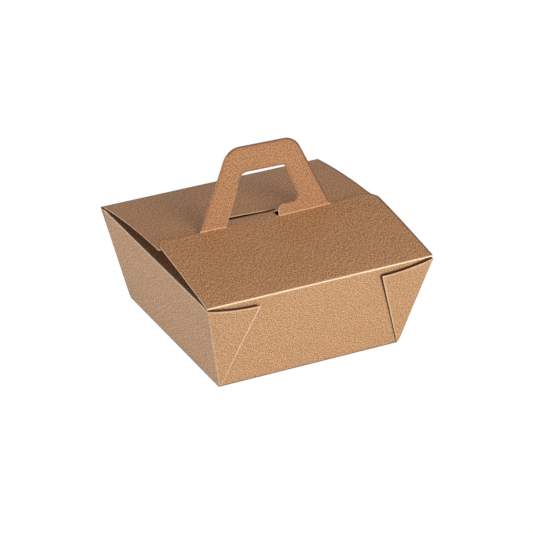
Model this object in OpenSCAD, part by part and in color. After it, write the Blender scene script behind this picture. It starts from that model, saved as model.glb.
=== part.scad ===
// Take-away carry box, cut and creased from one sheet of kraft board: a flared
// tray with double web corners, two dust flaps, a rear lid flap with a slot, and
// a front lid flap whose free edge turns up into a handle. The tongue cut from
// the handle's window hangs from the same edge and locks in the slot.
// X runs to the right, Y to the rear and Z up from the table. Each panel is
// drawn on the middle of its board and is given the board's thickness.

/* [Board] */
// Thickness of the board
board_t = 0.5; // [0.35:0.05:0.7]
// Air between boards that lie folded on each other
ply_gap = 0.2; // [0.1:0.05:0.4]
// Hairline along a cut or a crease that parts two moving pieces
cut_gap = 0.1; // [0.05:0.05:0.25]
// Swelling of the board along a corner crease
crease_swell = 0.04; // [0.02:0.01:0.1]

/* [Tray] */
// Width between the side walls at their top creases
rim_w = 150; // [135:1:170]
// Depth between the front and rear walls at the height of the side creases
rim_d = 140.2; // [128:0.2:160]
// Width of the base
base_w = 120.5; // [105:0.5:130]
// Depth of the base
base_d = 118; // [105:0.5:125]
// Height of the side creases above the table
wall_h = 61; // [50:1:75]
// Height of the front and rear creases above the side creases
lid_step = 0.7; // [0.6:0.1:2]

/* [Web corners] */
// Fall of a web's top edge from its corner to the end of its fold
web_drop = 4.8; // [3:0.2:8]
// Height of a web's point above the base crease
web_lift = 0.8; // [0.7:0.1:2]

/* [Dust flaps] */
// Reach of a dust flap from its crease
dust_len = 45; // [25:1:60]
// Set-back of its ends from the front and rear walls
dust_setback = 3; // [2:0.5:8]
// Narrowing of each end over the reach
dust_taper = 16; // [12:1:30]
// Radius of its two corners
dust_r = 10; // [2:1:16]
// Upward tilt in degrees
dust_tilt = 2; // [0:0.5:3]

/* [Lid flaps] */
// Set-back of the front flap's sides from the side walls
front_lid_setback = 0.25; // [0:0.05:2]
// Narrowing of each side of the front flap over its reach
front_lid_taper = 0.9; // [0:0.1:4]
// Radius of the front flap's two free corners
front_lid_r = 8.5; // [2:0.5:14]
// Height of the front flap's bow over a straight line
front_lid_bow = 0.6; // [0.3:0.1:1.2]
// Rise of the front flap from its crease to its free edge
lid_rise = 10.5; // [9:0.5:13]
// Set-back of the rear flap's sides from the side walls
rear_lid_setback = 0.45; // [0:0.05:2]
// Height of the rear flap's bow over a straight line
rear_lid_bow = 1.5; // [1:0.1:2]
// Reach of the rear flap under the front flap
lid_overlap = 5.8; // [4:0.2:7]
// Air between the two flaps where the front one rests on the rear one
lid_rest_gap = 0.3; // [0.2:0.05:0.5]

/* [Handle] */
// Place of the handle crease ahead of the middle of the box
handle_ahead = 0.7; // [-1:0.1:3]
// Width across the legs at the crease
handle_w = 88.8; // [82:0.2:96]
// Width of the top edge, corner to corner before rounding
handle_top_w = 45.4; // [40:0.2:52]
// Height from the crease to the top edge
handle_h = 46.7; // [42:0.1:54]
// Radius of the top corners
handle_r = 13; // [6:0.5:15]
// Lean towards the rear in degrees
handle_lean = 9.2; // [0:0.2:15]
// Width of a leg at the crease
leg_w = 17.5; // [14:0.5:20]
// Height of the grip above the window
grip_h = 16.2; // [12:0.2:20]
// Width of the window at its top
window_top_w = 29.2; // [24:0.2:34]
// Radius of the window's top corner on the left
window_left_r = 5.5; // [2:0.5:8]
// Radius of the window's top corner on the right
window_right_r = 2; // [1:0.5:6]
// Width of the foot beside the right leg, at the crease
foot_w = 18; // [16:0.5:20]
// Height of the foot
foot_h = 7; // [6.5:0.1:8]
// Radius of the foot's corner and of the corner between foot and leg
foot_r = 3.5; // [2:0.5:4.5]

/* [Lock] */
// Dip of the tongue below level in degrees
tongue_dip = 25; // [24:0.5:28]
// Distance from the handle crease back to the rear lip of the slot
slot_behind = 8.3; // [7.6:0.1:10]
// Width of the slot
slot_w = 6.2; // [5.8:0.1:7]
// Room in the slot beside the tongue, at each end
slot_room = 0.6; // [0.3:0.1:2]

/* [Hidden] */

kraft = [0.74, 0.58, 0.42];
kraft_shaded = [0.62, 0.47, 0.34];

crease_fn = 24;
bow_fn = 720;
arc_step = 12;      // degrees between points on a rounded corner
web_steps = 10;     // chords in a web's curved top edge
overrun = 1;        // reach of a cut past the board

// Slope, length and angle of the walls
wall_rise = wall_h - board_t / 2;
side_lean = atan((rim_w - base_w) / 2 / wall_rise);
front_lean = atan((rim_d - base_d) / 2 / wall_rise);
side_slant = wall_rise / cos(side_lean);
front_slant = wall_rise / cos(front_lean);
lid_slant = (wall_rise + lid_step) / cos(front_lean);
front_flare = atan((rim_w - base_w) / 2 / front_slant);
side_flare = atan((rim_d - base_d) / 2 / side_slant);

// Web corners: the four angles round a base corner and the two halves of its
// web make a full turn of flat board, so a half web has this angle.
web_half = (360 - 90 - (90 + front_flare) - (90 + side_flare)) / 2;
fold_lean = web_half - front_flare;
ply_step = board_t + ply_gap;
fold_d = ply_step + board_t;
corner_inset = board_t / 2 + ply_gap + fold_d / 2;

// Half the length of a dust flap's crease
dust_root = rim_d / 2 - dust_setback;

// Lid creases and the line where the handle stands
lid_crease_y = rim_d / 2 + lid_step * tan(front_lean);
lid_crease_z = wall_h + lid_step;
handle_y = -handle_ahead;
handle_z = lid_crease_z + lid_rise;
front_reach = lid_crease_y - handle_ahead;
front_chord = norm([front_reach, lid_rise]);
front_lid_half = rim_w / 2 - front_lid_setback;
rear_reach = lid_crease_y + handle_ahead + lid_overlap;
front_lid_tip_rise = bow_rise(front_reach, lid_rise, front_lid_bow, front_reach - lid_overlap);
rear_rise = front_lid_tip_rise - board_t - lid_rest_gap;
rear_chord = norm([rear_reach, rear_rise]);
rear_lid_half = rim_w / 2 - rear_lid_setback;

// Handle window, which is also the tongue's outline before it is folded down
window_half = handle_w / 2 - leg_w;
window_h = handle_h - grip_h;
foot_x = window_half - foot_w;
window_side = (window_half - window_top_w / 2) / window_h;
slot_right = foot_x + foot_r + slot_room;
slot_left = window_half + slot_room;

// Radius of the bow over a chord
function bow_radius(chord, bow) = chord * chord / (8 * bow) + bow / 2;

// Height above its crease of a bowed flap, at a distance from the crease
function bow_rise(reach, rise, bow, at) =
    let (
        chord = norm([reach, rise]),
        radius = bow_radius(chord, bow),
        centre_y = reach / 2 + (radius - bow) * rise / chord,
        centre_z = rise / 2 - (radius - bow) * reach / chord
    )
    centre_z + sqrt(radius * radius - (at - centre_y) * (at - centre_y));

// Points of one rounded corner: an arc that touches both edges
function corner_points(before, at, after, r) =
    let (
        a = (before - at) / norm(before - at),
        b = (after - at) / norm(after - at),
        half = acos(a * b) / 2,
        centre = at + (a + b) / norm(a + b) * r / sin(half),
        first = at + a * r / tan(half) - centre,
        start = atan2(first.y, first.x),
        turn = (180 - 2 * half) * sign(a.x * b.y - a.y * b.x) * -1,
        steps = ceil(abs(turn) / arc_step)
    )
    [for (i = [0:steps]) centre + r * [cos(start + turn * i / steps), sin(start + turn * i / steps)]];

// Outline through corners given as [x, y, radius]
function rounded(corners) =
    let (n = len(corners), at = [for (c = corners) [c.x, c.y]])
    [for (i = [0:n - 1])
        each corners[i][2] == 0
            ? [at[i]]
            : corner_points(at[(i + n - 1) % n], at[i], at[(i + 1) % n], corners[i][2])];

// Corners of the handle's window and of the tongue, from the crease up
function window_corners(trim, root) = [
    [-window_half + trim, root, 0],
    [foot_x - trim, root, 0],
    [foot_x - trim, foot_h, foot_r],
    [window_half - window_side * foot_h - trim, foot_h, foot_r],
    [window_top_w / 2 - trim, window_h, window_right_r],
    [-window_top_w / 2 + trim, window_h, window_left_r]
];

// Distance from the middle to the side wall, seen in the front wall: up its
// slope and out from it
function corner_x(up, out = 0) =
    base_w / 2 + (up * cos(front_lean) - out * sin(front_lean)) * tan(side_lean);

// Web: foot of its fold, end of its fold, and the arc of its top edge
web_point = [corner_x(web_lift), web_lift];
web_end_up = front_slant - web_drop;
web_end = [web_point.x - (web_end_up - web_lift) * tan(fold_lean), web_end_up];
web_top_x = corner_x(front_slant);
web_arc_r = (pow(web_top_x - web_end.x, 2) + web_drop * web_drop) / (2 * web_drop);
function web_top(x) = web_end.y + web_arc_r - sqrt(web_arc_r * web_arc_r - pow(x - web_end.x, 2));

// Where a web's fold meets a line parallel to the corner and inset from it
function web_root(inset) =
    let (up = web_lift + inset / (tan(fold_lean) + tan(front_flare)))
    [corner_x(up) - inset, up];

function web_outline(inset) = concat(
    [web_root(inset)],
    [for (i = [0:web_steps])
        let (x = web_end.x + (web_top_x - inset - web_end.x) * i / web_steps)
        [x, web_top(x)]]
);

// Board cut to a flat outline
module sheet(points) {
    linear_extrude(height = board_t, center = true)
        polygon(points);
}

// Round back of a fold, from one point to another
module crease(from, to, d = board_t) {
    run = to - from;
    length = norm(run);
    translate(from)
        rotate([0, acos(run.z / length), atan2(run.y, run.x)])
            cylinder(d = d, h = length, $fn = crease_fn);
}

// Frame of a wall: x along its crease, y up its slope, z outwards
module wall_frame(foot, lean) {
    translate([0, -foot, board_t / 2])
        rotate([90 + lean, 0, 0])
            children();
}

// Bowed lid flap from its crease at the origin: a slice of a large thin tube
// whose chord climbs from the crease to the free edge
module bowed_flap(reach, rise, bow) {
    chord = norm([reach, rise]);
    radius = bow_radius(chord, bow);
    rotate([atan2(rise, reach), 0, 0])
        intersection() {
            translate([0, chord / 2, bow - radius])
                rotate([0, 90, 0])
                    difference() {
                        cylinder(r = radius + board_t / 2, h = rim_w, center = true, $fn = bow_fn);
                        cylinder(r = radius - board_t / 2, h = rim_w + overrun, center = true, $fn = bow_fn);
                    }
            linear_extrude(height = 2 * (bow + board_t), center = true)
                children();
        }
}

module base_panel() {
    translate([0, 0, board_t / 2])
        sheet([
            [-base_w / 2, -base_d / 2],
            [base_w / 2, -base_d / 2],
            [base_w / 2, base_d / 2],
            [-base_w / 2, base_d / 2]
        ]);
}

// Front or rear wall with its base crease and its lid crease
module end_wall() {
    foot = base_w / 2 - corner_inset;
    top = corner_x(lid_slant) - corner_inset;
    sheet([[-foot, 0], [foot, 0], [top, lid_slant], [-top, lid_slant]]);
    crease([-base_w / 2, 0, 0], [base_w / 2, 0, 0]);
    crease([-top, lid_slant, 0], [top, lid_slant, 0]);
}

// Right-hand web of an end wall: the wall's edge folds back as the inner ply,
// which folds over along the slanting line into the outer ply, and that one
// runs round the corner into the side wall
module web_corner() {
    foot = web_root(corner_inset);
    for (ply = [1, 2])
        translate([0, 0, ply * ply_step])
            sheet(web_outline(ply == 1 ? corner_inset : 0));
    crease(
        [foot.x, foot.y, ply_step / 2],
        [web_top_x - corner_inset, web_top(web_top_x - corner_inset), ply_step / 2],
        fold_d
    );
    crease(
        [foot.x, foot.y, ply_step * 3 / 2],
        [web_end.x, web_end.y, ply_step * 3 / 2],
        fold_d
    );
    crease(
        [corner_x(web_lift, 2 * ply_step), web_lift, 2 * ply_step],
        [corner_x(front_slant, 2 * ply_step), front_slant, 2 * ply_step],
        board_t + crease_swell
    );
}

// Side wall, which reaches out to the outer plies of the webs at both ends
module side_wall() {
    reach = 2 * ply_step / cos(front_lean);
    foot = base_d / 2 + reach;
    top = rim_d / 2 + reach;
    up = web_lift;
    low = foot + (top - foot) * up / side_slant;
    sheet([
        [-base_d / 2, 0],
        [base_d / 2, 0],
        [low, up],
        [top, side_slant],
        [-top, side_slant],
        [-low, up]
    ]);
    crease([-base_d / 2, 0, 0], [base_d / 2, 0, 0]);
    crease([-rim_d / 2, side_slant, 0], [rim_d / 2, side_slant, 0]);
}

// Dust flap, from its crease inwards
module dust_flap() {
    tip = dust_root - dust_taper;
    sheet(rounded([
        [-dust_root, 0, 0],
        [dust_root, 0, 0],
        [tip, dust_len, dust_r],
        [-tip, dust_len, dust_r]
    ]));
}

// Rear lid flap with the slot that takes the tongue, seen from the rear
module rear_lid() {
    slope = cos(atan2(rear_rise, rear_reach));
    lip = (lid_crease_y + handle_ahead - slot_behind) / slope;
    translate([0, -lid_crease_y, lid_crease_z])
        bowed_flap(reach = rear_reach, rise = rear_rise, bow = rear_lid_bow)
            difference() {
                translate([-rear_lid_half, 0])
                    square([2 * rear_lid_half, rear_chord]);
                translate([-slot_right, lip])
                    square([slot_right + slot_left, slot_w]);
            }
}

module carton() {
    color(kraft) {
        base_panel();
        for (turn = [0, 180])
            rotate([0, 0, turn]) {
                wall_frame(base_d / 2, front_lean) {
                    end_wall();
                    web_corner();
                    mirror([1, 0, 0])
                        web_corner();
                }
                rotate([0, 0, 90]) {
                    wall_frame(base_w / 2, side_lean)
                        side_wall();
                    translate([0, -rim_w / 2, wall_h])
                        rotate([dust_tilt, 0, 0])
                            dust_flap();
                }
            }
        rotate([0, 0, 180])
            rear_lid();
    }
}

// Handle loop: two legs under a grip, with a foot beside the right leg that
// takes the place of the tongue's neck
module handle() {
    linear_extrude(height = board_t, center = true)
        difference() {
            polygon(rounded([
                [-handle_w / 2, 0, 0],
                [handle_w / 2, 0, 0],
                [handle_top_w / 2, handle_h, handle_r],
                [-handle_top_w / 2, handle_h, handle_r]
            ]));
            polygon(rounded(window_corners(trim = 0, root = -overrun)));
        }
    crease([-handle_w / 2, 0, 0], [-window_half, 0, 0]);
    crease([foot_x, 0, 0], [handle_w / 2, 0, 0]);
}

module front_lid() {
    color(kraft) {
        translate([0, -lid_crease_y, lid_crease_z])
            bowed_flap(reach = front_reach, rise = lid_rise, bow = front_lid_bow)
                polygon(rounded([
                    [-front_lid_half, board_t / 2 + cut_gap, 0],
                    [front_lid_half, board_t / 2 + cut_gap, 0],
                    [front_lid_half - front_lid_taper, front_chord, front_lid_r],
                    [-front_lid_half + front_lid_taper, front_chord, front_lid_r]
                ]));
        translate([0, handle_y, handle_z])
            rotate([90 - handle_lean, 0, 0])
                handle();
    }
}

// Tongue, hung from the front flap's free edge and dipping through the slot
module lock_tongue() {
    color(kraft_shaded)
        translate([0, handle_y, handle_z])
            difference() {
                rotate([-tongue_dip, 0, 0])
                    sheet(rounded(window_corners(trim = cut_gap, root = -overrun)));
                rotate([atan2(lid_rise, front_reach), 0, 0])
                    translate([-handle_w / 2, -2 * overrun, -overrun])
                        cube([handle_w, 2 * overrun + cut_gap, 2 * overrun]);
            }
}

carton();
front_lid();
lock_tongue();
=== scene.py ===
"""Take-away carry box of brown kraft board, folded from one cut and creased sheet.

Each panel is the middle surface of the board, worked out on a grid, and is then given the board's
thickness. Grids run along a crease first and across it second, so that the outer face of the board
looks outwards. The map called "blank" holds each point's place on the flat sheet, in metres.
"""

import bmesh
import bpy
import numpy as np
from mathutils import Matrix


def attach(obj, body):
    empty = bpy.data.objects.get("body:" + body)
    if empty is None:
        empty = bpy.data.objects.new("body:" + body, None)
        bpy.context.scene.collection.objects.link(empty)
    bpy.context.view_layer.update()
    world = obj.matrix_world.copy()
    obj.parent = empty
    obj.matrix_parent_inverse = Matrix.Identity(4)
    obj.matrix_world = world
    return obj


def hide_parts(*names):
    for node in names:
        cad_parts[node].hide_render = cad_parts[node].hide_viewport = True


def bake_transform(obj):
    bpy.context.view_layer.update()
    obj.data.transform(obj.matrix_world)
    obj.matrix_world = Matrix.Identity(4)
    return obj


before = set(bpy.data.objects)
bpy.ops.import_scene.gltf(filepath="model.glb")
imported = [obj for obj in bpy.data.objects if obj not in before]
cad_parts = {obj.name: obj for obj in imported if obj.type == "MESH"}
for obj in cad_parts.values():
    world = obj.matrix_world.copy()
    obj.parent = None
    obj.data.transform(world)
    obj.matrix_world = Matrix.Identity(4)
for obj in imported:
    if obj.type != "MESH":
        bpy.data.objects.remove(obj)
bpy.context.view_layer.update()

MM = 0.001

# Board
BOARD_T = 0.5 * MM
PLY_STEP = 0.7 * MM
FOLD_CUT = 0.45 * MM
FOLD_ZONE = 4 * FOLD_CUT
EDGE_BULGE = 0.05 * MM
SHARP_ANGLE = 50
SAME_PLACE = 1e-7
NO_LENGTH = 1e-14

# Marks that folding and cutting leave on the board, painted shade along lines and under the webs, and how
# far they reach from the line
CREASE_SPREAD = 0.32 * MM
PRESSED_SPREAD = 0.6 * MM
PRESSED_CORE = 0.45 * MM
BESIDE_CUT = np.array([0.45, 0.85, 1.4]) * MM
# Painted shade in the pockets under the webs: its reach in from a web's outline, how far it spreads past the
# slanting fold, and how far the fold that faces the light stays clear of it
WEB_SHADE_REACH = 3 * MM
FOLD_SHADE = 0.5 * MM
FOLD_CLEAR = 0.6 * MM

# How strongly each line and edge is made pale or dark, as a share of fully pale or fully dark. Creases are
# worn pale and cuts made dark by the die; the marks named for shade, highlight or a lit side are painted
# light and shade.
# Painted shade: a dark line along the foot of every wall, where it turns under
WALL_FOOT_SHADE = 0.55
FRONT_TOP_WEAR = 0.5
SIDE_TOP_WEAR = 0.65
# Painted shade along the rear edge of each side wall and round the corner of the webs that face away from
# the light
SIDE_EDGE_SHADE = 0.8
# Painted shade: a dark band along the rear crease
REAR_CREASE_SHADE = 0.6
# Pale line along the slot's lip: the paler cut edge with a painted highlight
SLOT_LIP_PALE_AND_HIGHLIGHT = 0.5
WEB_TOP_WEAR = 0.9
# Pale line along the webs' slanting folds: crease fibres with a painted highlight, stronger on the webs that
# face the light
WEB_FOLD_CREASE_AND_HIGHLIGHT = 0.35
LIT_WEB_FOLD_CREASE_AND_HIGHLIGHT = 0.6
# Painted highlight round the corner of the webs that face the light
LIT_CORNER_HIGHLIGHT = 0.3
LID_START_WEAR = 0.6
LID_CREASE_FADE = 0.5
LID_END_WEAR = 0.3
# Painted highlight along the front flap's edge that faces the light
LIT_EDGE_HIGHLIGHT = 0.8
LEG_CREASE_WEAR = 1.2
# Painted shade along the lid flaps' cut edges that face away from the light, and a little die pressing along
# the lit ones
SHADED_CUT = 0.95
LIT_CUT = 0.1
HANDLE_CREASE_WEAR = 1.4
HANDLE_FOOT_WEAR = 0.9
HANDLE_LEG_WEAR = 0.35
HANDLE_CUT_WEAR = 0.85
WINDOW_CUT_WEAR = 0.3
# Painted shade that darkens the whole handle
HANDLE_PAINTED_SHADE = 0.18

# Grid rows in a soft fold, next to one, and up the end walls and side walls
FOLD_ROWS = 6
NEAR_ROWS = 3
END_WALL_ROWS = 40
SIDE_WALL_ROWS = 16

# Rows round a rounded corner and along straight parts of the handle
ARC_ROWS = 13
LEG_ROWS = 16
GRIP_ROWS = 12

# Tray
RIM_W = 150 * MM
RIM_D = 140.2 * MM
BASE_W = 120.5 * MM
BASE_D = 118 * MM
WALL_H = 61 * MM
LID_STEP = 0.7 * MM
BASE_MARGIN = 3 * MM
END_WALL_BOW = 0.35 * MM
SIDE_WALL_BOW = 0.45 * MM

# Web corners
WEB_DROP = 3.8 * MM
WEB_LIFT = 0.8 * MM
WEB_STEEPER = 1.0
CORNER_INSET = 1.05 * MM
WEB_SPRING = 0.8 * MM
WEB_OPEN = 0.6 * MM
WEB_RAISE = 0.2 * MM
INNER_PLY_LIFT = 0.3 * MM
CORNER_SHADE = 1.3 * MM
CORNER_CUT = 0.6 * MM
CONVERGE_H = 7 * MM
CONVERGE_SHARE = 0.55
WEB_FADE = 22 * MM

# Dust flaps
DUST_LEN = 45 * MM
DUST_SETBACK = 3 * MM
DUST_TAPER = 16 * MM
DUST_R = 10 * MM
DUST_TILT = -1.8

# Lid flaps
FRONT_LID_HALF = 74.75 * MM
FRONT_LID_TAPER = 0.9 * MM
FRONT_LID_R = 8.5 * MM
FRONT_LID_BOW = 0.6 * MM
FRONT_LID_FLARE = 1.2 * MM
LID_RISE = 10.5 * MM
REAR_LID_HALF = 74.55 * MM
REAR_LID_BOW = 1.8 * MM
REAR_LID_SKEW = -1.2 * MM
LID_OVERLAP = 8.4 * MM
LID_REST_GAP = 0.16 * MM
LID_SAG = 2.0 * MM
LID_SAG_HALF = 77 * MM
LID_SAG_X = 5 * MM
LID_SAG_FULL = 1 / 1.05
REAR_SAG_FROM = 0.80
REAR_SAG_OVER = 0.12
LID_CURL = 1.0 * MM
LID_CURL_X = 30 * MM
REAR_LID_DROP = 0.03
SQUARE_ZONE = 50 * MM

# Handle
HANDLE_AHEAD = 0.7 * MM
HANDLE_HALF = 44.4 * MM
HANDLE_TOP_HALF = 22.7 * MM
HANDLE_H = 46.7 * MM
HANDLE_LEFT_R = 13 * MM
HANDLE_RIGHT_R = 11 * MM
HANDLE_LEAN = 9.2
HANDLE_SHIFT = -0.6 * MM
HANDLE_DROOP = 0.5 * MM
HANDLE_BOW = 0.5 * MM
LEG_W = 17.5 * MM
WINDOW_H = 31.1 * MM
WINDOW_TOP_HALF = 14.6 * MM
WINDOW_LEFT_R = 5.5 * MM
WINDOW_RIGHT_R = 2 * MM
FOOT_W = 18 * MM
FOOT_H = 7 * MM
FOOT_R = 3.5 * MM

# Lock
SLOT_BEHIND = 11.6 * MM
SLOT_W = 9.5 * MM
SLOT_ROOM = 0.6 * MM
SLOT_TURN = 3.6
SLOT_REACH = 45 * MM
PRESS_REACH = 9 * MM
TONGUE_KNOTS = np.array([[0, 0], [1.8, 0.1], [6.4, -0.5], [10.4, -1.8]]) * MM
TONGUE_DIP = 18.0
TONGUE_TRIM = 0.15 * MM
TONGUE_TWIST = 0.35 * MM
TWIST_W = 8 * MM
TWIST_L = 5 * MM
NICK_DEPTH = 1.1 * MM
NICK_HALF = 0.9 * MM

# Tone of the board: how many clouds, grains and fibres a millimetre holds, and the share of each
CLOUD_SCALE = 0.10
CLOUD_SHARE = 0.18
GRAIN_SCALE = 1.25
GRAIN_SHARE = 2.4
FINE_SCALE = 1.9
FINE_SHARE = 2.6
FIBRE_SQUEEZE = (0.32, 1.9, 1)
FIBRE_TURNS = (8, -49, 63)
FIBRE_SHARE = 0.25
SPECK_SCALE = 0.30
SPECK_SHARE = 0.55
HUE_SCALE = 0.7
HUE_TURN = 20
# Share of the painted shade in the pockets under the webs
PAINTED_WEB_SHADE_SHARE = 0.84

# Board whose grain is longer across its creases
LONG_GRAIN = 0.52
LONG_GRAIN_SHARE = 2.0
LONG_FINE_SHARE = 3.8

# What the darkest and the lightest grain keep of the board's red, green and blue, and their drift
DARKEST = np.array([0.57, 0.43, 0.19])
LIGHTEST = np.array([1.43, 1.57, 1.81])
HUE_SHIFT = np.array([1.006, 0.998, 0.993])
GRAIN_RELIEF = 0.03 * MM

# Camera
CAMERA_TARGET = np.array([7.704, 10.907, 30.15]) * MM
CAMERA_AZIMUTH = -28.63
CAMERA_ELEVATION = 28.83
CAMERA_ROLL = 1.509
CAMERA_DISTANCE = 1973.1 * MM
CAMERA_LENS = 218.71
SENSOR = 36.0

# Soft boxes: azimuth and elevation in degrees, size in metres, power in watts, tint
LAMPS = {
    "key": (10, 6, 0.36, 6.9, (0.88, 0.98, 1.0)),
    "key_above": (10, 30, 0.6, 7.1, (1.0, 0.88, 0.77)),
    "left_fill": (-110, 6, 0.5, 10.2, (0.83, 0.9, 1.0)),
    "top": (0, 85, 0.5, 2.5, (1.0, 0.54, 0.22)),
}
LAMP_DISTANCE = 1.2
LAMP_AIM = np.array([0, 0, 0.05])

# Floor and background
WORLD_LEVEL = 0.04
WHITE_LEVEL = 1.03
FLOOR_WHITE = 0.96
FLOOR_COLOUR = (0.93, 0.96, 1.0, 1)
FLOOR_HALF = 3.0

# Slopes and lines that follow from the sizes above
HALF_T = BOARD_T / 2
WALL_RISE = WALL_H - HALF_T
SIDE_TAN = (RIM_W - BASE_W) / 2 / WALL_RISE
FRONT_TAN = (RIM_D - BASE_D) / 2 / WALL_RISE
FRONT_COS = 1 / np.hypot(1, FRONT_TAN)
FRONT_SIN = FRONT_TAN * FRONT_COS
FRONT_SLANT = WALL_RISE / FRONT_COS
LID_SLANT = (WALL_RISE + LID_STEP) / FRONT_COS
LID_START = BASE_D / 2 + LID_SLANT
CREASE_OUT = RIM_D / 2 + LID_STEP * FRONT_TAN
CREASE_Z = WALL_H + LID_STEP
LID_CREASE = np.array([CREASE_OUT, CREASE_Z])
LID_REACH = CREASE_OUT - HANDLE_AHEAD
LID_CHORD = np.hypot(LID_REACH, LID_RISE)
WINDOW_HALF = HANDLE_HALF - LEG_W
FOOT_X = WINDOW_HALF - FOOT_W
WINDOW_SIDE = (WINDOW_HALF - WINDOW_TOP_HALF) / WINDOW_H
HOOK_FROM = FOOT_H + TONGUE_TRIM


def smooth(x):
    """Soft step from 0 to 1: three x squared less two x cubed, with x held between 0 and 1."""
    x = np.clip(x, 0, 1)
    return x * x * (3 - 2 * x)


def straight(a, b, count):
    """Points on a straight line from a towards b, without b."""
    share = np.arange(count)[:, None] / count
    return a * (1 - share) + b * share


def parabola(a, corner, b, share):
    """Places at shares of a soft curve from a to b, whose two tangents meet at the corner."""
    return a * (1 - share) ** 2 + corner * 2 * share * (1 - share) + b * share**2


def bend(a, corner, b, count):
    """Rows of a soft fold from a to b, without b."""
    return parabola(a, corner, b, np.arange(count)[:, None] / count)


def towards(a, b, distance):
    """Point at a distance from a on the way to b."""
    return a + (b - a) * distance / np.linalg.norm(b - a)


def unit(vectors):
    """Vectors along the last axis, brought to length 1. One without a length is left without."""
    return vectors / np.maximum(np.linalg.norm(vectors, axis=-1, keepdims=True), NO_LENGTH)


def rounded(r, to_end):
    """How far a corner of radius r draws a side in, at a distance from the end of that side."""
    left = r - np.clip(to_end, 0, r)
    return r - np.sqrt(np.maximum(r**2 - left**2, 0))


def lengths(path):
    """Length along a path up to each of its points."""
    steps = np.linalg.norm(np.diff(path, axis=0), axis=1)
    return np.concatenate([[0], np.cumsum(steps)])


def turned(along, out, up, quarter):
    """Places given along a wall, out from the middle and up, for the wall that is a number of quarter
    turns to the right of the front one."""
    along, out, up = np.broadcast_arrays(along, out, up)
    x, y = along, -out
    for _ in range(quarter % 4):
        x, y = -y, x
    return np.stack([x, y, up], axis=-1)


def fine_near(lines, marks, reach):
    """Grid lines with two more on each side of every mark, at half a reach and at one reach."""
    more = [mark + side * reach * share for mark in marks for side in (-1, 1) for share in (0.5, 1)]
    inside = [x for x in more if min(lines) < x < max(lines)]
    return np.unique(np.round(np.concatenate([lines, marks, inside]), 8))


def board_mesh(name, middle, blank, wear_and_painted_light=None, keep=None, painted_web_shade=None):
    """Board on a middle surface: its two faces lie half a thickness along the normal on each side,
    and a rim that bulges slightly closes it wherever a cell has no neighbour. The normal is the cross
    product of the steps along the grid's first and second direction."""
    m, n = middle.shape[:2]
    keep = np.ones((m - 1, n - 1), bool) if keep is None else keep
    points = middle.reshape(-1, 3)
    normals = unit(np.cross(np.gradient(middle, axis=0), np.gradient(middle, axis=1))).reshape(-1, 3)
    index = np.arange(m * n).reshape(m, n)
    i, j = np.nonzero(keep)
    corners = [index[i, j], index[i + 1, j], index[i + 1, j + 1], index[i, j + 1]]
    outer = np.stack(corners, axis=1)
    inner = outer[:, ::-1] + m * n
    around = np.pad(keep, 1)
    beside = [around[i + 1, j], around[i + 2, j + 1], around[i + 1, j + 2], around[i, j + 1]]
    following = corners[1:] + corners[:1]
    rim = [np.stack([a, b])[:, ~taken] for a, b, taken in zip(corners, following, beside)]
    u, v = np.concatenate(rim, axis=1)
    outwards = unit(np.cross(points[v] - points[u], normals[u]))
    push = np.zeros_like(points)
    np.add.at(push, u, outwards)
    np.add.at(push, v, outwards)
    bulge = unit(push) * EDGE_BULGE
    rows = [
        points + normals * HALF_T,
        points - normals * HALF_T,
        points + bulge + normals * HALF_T / 2,
        points + bulge - normals * HALF_T / 2,
    ]
    step = m * n
    bands = [(0, 2), (2, 3), (3, 1)]
    ends = [(v + a * step, u + a * step, u + b * step, v + b * step) for a, b in bands]
    faces = np.concatenate([outer, inner, *[np.stack(quad, axis=1) for quad in ends]])
    kinds = np.repeat([0, 1, 2], [len(outer), len(inner), 3 * len(u)])
    used = np.unique(faces)
    place = np.full(4 * step, -1)
    place[used] = np.arange(len(used))
    mesh = bpy.data.meshes.new(name)
    mesh.from_pydata(np.concatenate(rows)[used], [], place[faces].tolist())
    mesh.polygons.foreach_set("material_index", kinds.astype(np.int32))
    flat_place = np.tile(blank.reshape(-1, 2), (4, 1))[used]
    corner_vertex = np.empty(len(mesh.loops), np.int32)
    mesh.loops.foreach_get("vertex_index", corner_vertex)
    layer = mesh.uv_layers.new(name="blank")
    layer.uv.foreach_set("vector", flat_place[corner_vertex].ravel().astype(np.float32))
    for key, values in (("wear_and_painted_light", wear_and_painted_light), ("painted_web_shade", painted_web_shade)):
        values = np.zeros(m * n) if values is None else np.ravel(values)
        marks = mesh.attributes.new(key, "FLOAT", "POINT")
        marks.data.foreach_set("value", np.tile(values, 4)[used].astype(np.float32))
    return mesh


def board_piece(name, body, nodes, grid, blend=None, outside=None):
    """One piece of board on a grid: middle and blank, and then the wear and painted light mark, keep and
    the painted web shade mark as far as they are given. It rides on a body, or, when a blend is given,
    stays where it stands with its placing baked into the mesh; the two places (out, up) of the blend are not
    read."""
    mesh = board_mesh(name, *grid)
    piece = bpy.data.objects.new(name, mesh)
    bpy.context.scene.collection.objects.link(piece)
    merge_poles(mesh)
    for material in (outside or KRAFT_OUTSIDE, KRAFT_INSIDE, CUT_EDGE):
        mesh.materials.append(material)
    mesh.shade_smooth()
    mesh.set_sharp_from_angle(angle=np.radians(SHARP_ANGLE))
    if blend is None:
        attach(piece, body)
    else:
        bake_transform(piece)
    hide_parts(*nodes)


def merge_poles(mesh):
    """Merges the points that meet at a pole, so that its cells become triangles."""
    work = bmesh.new()
    work.from_mesh(mesh)
    bmesh.ops.remove_doubles(work, verts=work.verts, dist=SAME_PLACE)
    work.to_mesh(mesh)
    work.free()


# Materials


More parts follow.
